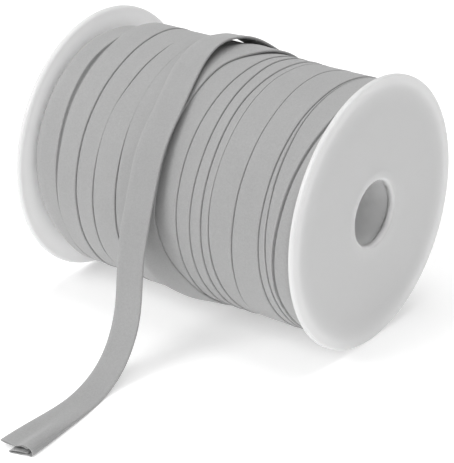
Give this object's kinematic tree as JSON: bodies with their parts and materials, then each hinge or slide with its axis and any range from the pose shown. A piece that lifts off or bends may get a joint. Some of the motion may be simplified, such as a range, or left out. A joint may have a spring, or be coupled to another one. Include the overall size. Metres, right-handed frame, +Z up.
{
  "type": "roll of bias tape",
  "caption": "Flanged plastic spool wound with folded cotton bias tape, its loose end crossing over the top, hanging down in front and lying on the surface with the cut end open",
  "frame": {"origin": "centre of the bounding box's base, on the surface that the spool and the loose end rest on", "axes": "+Z up; the spool's axis runs along X with flange_near at +X; the loose end runs towards -Y, and the spool stands towards +Y"},
  "size_m": [0.1238, 0.1866, 0.1008],
  "materials": {
    "spool_plastic": "white moulded plastic, satin",
    "tape_cotton": "plain woven cotton cut on the bias, pressed into folded tape, matt"
  },
  "bodies": {
    "root": {"flange_near": "spool_plastic", "flange_far": "spool_plastic", "core_tube": "spool_plastic", "tape_winding": "tape_cotton", "tape_tail": "tape_cotton"}
  },
  "joints": []
}
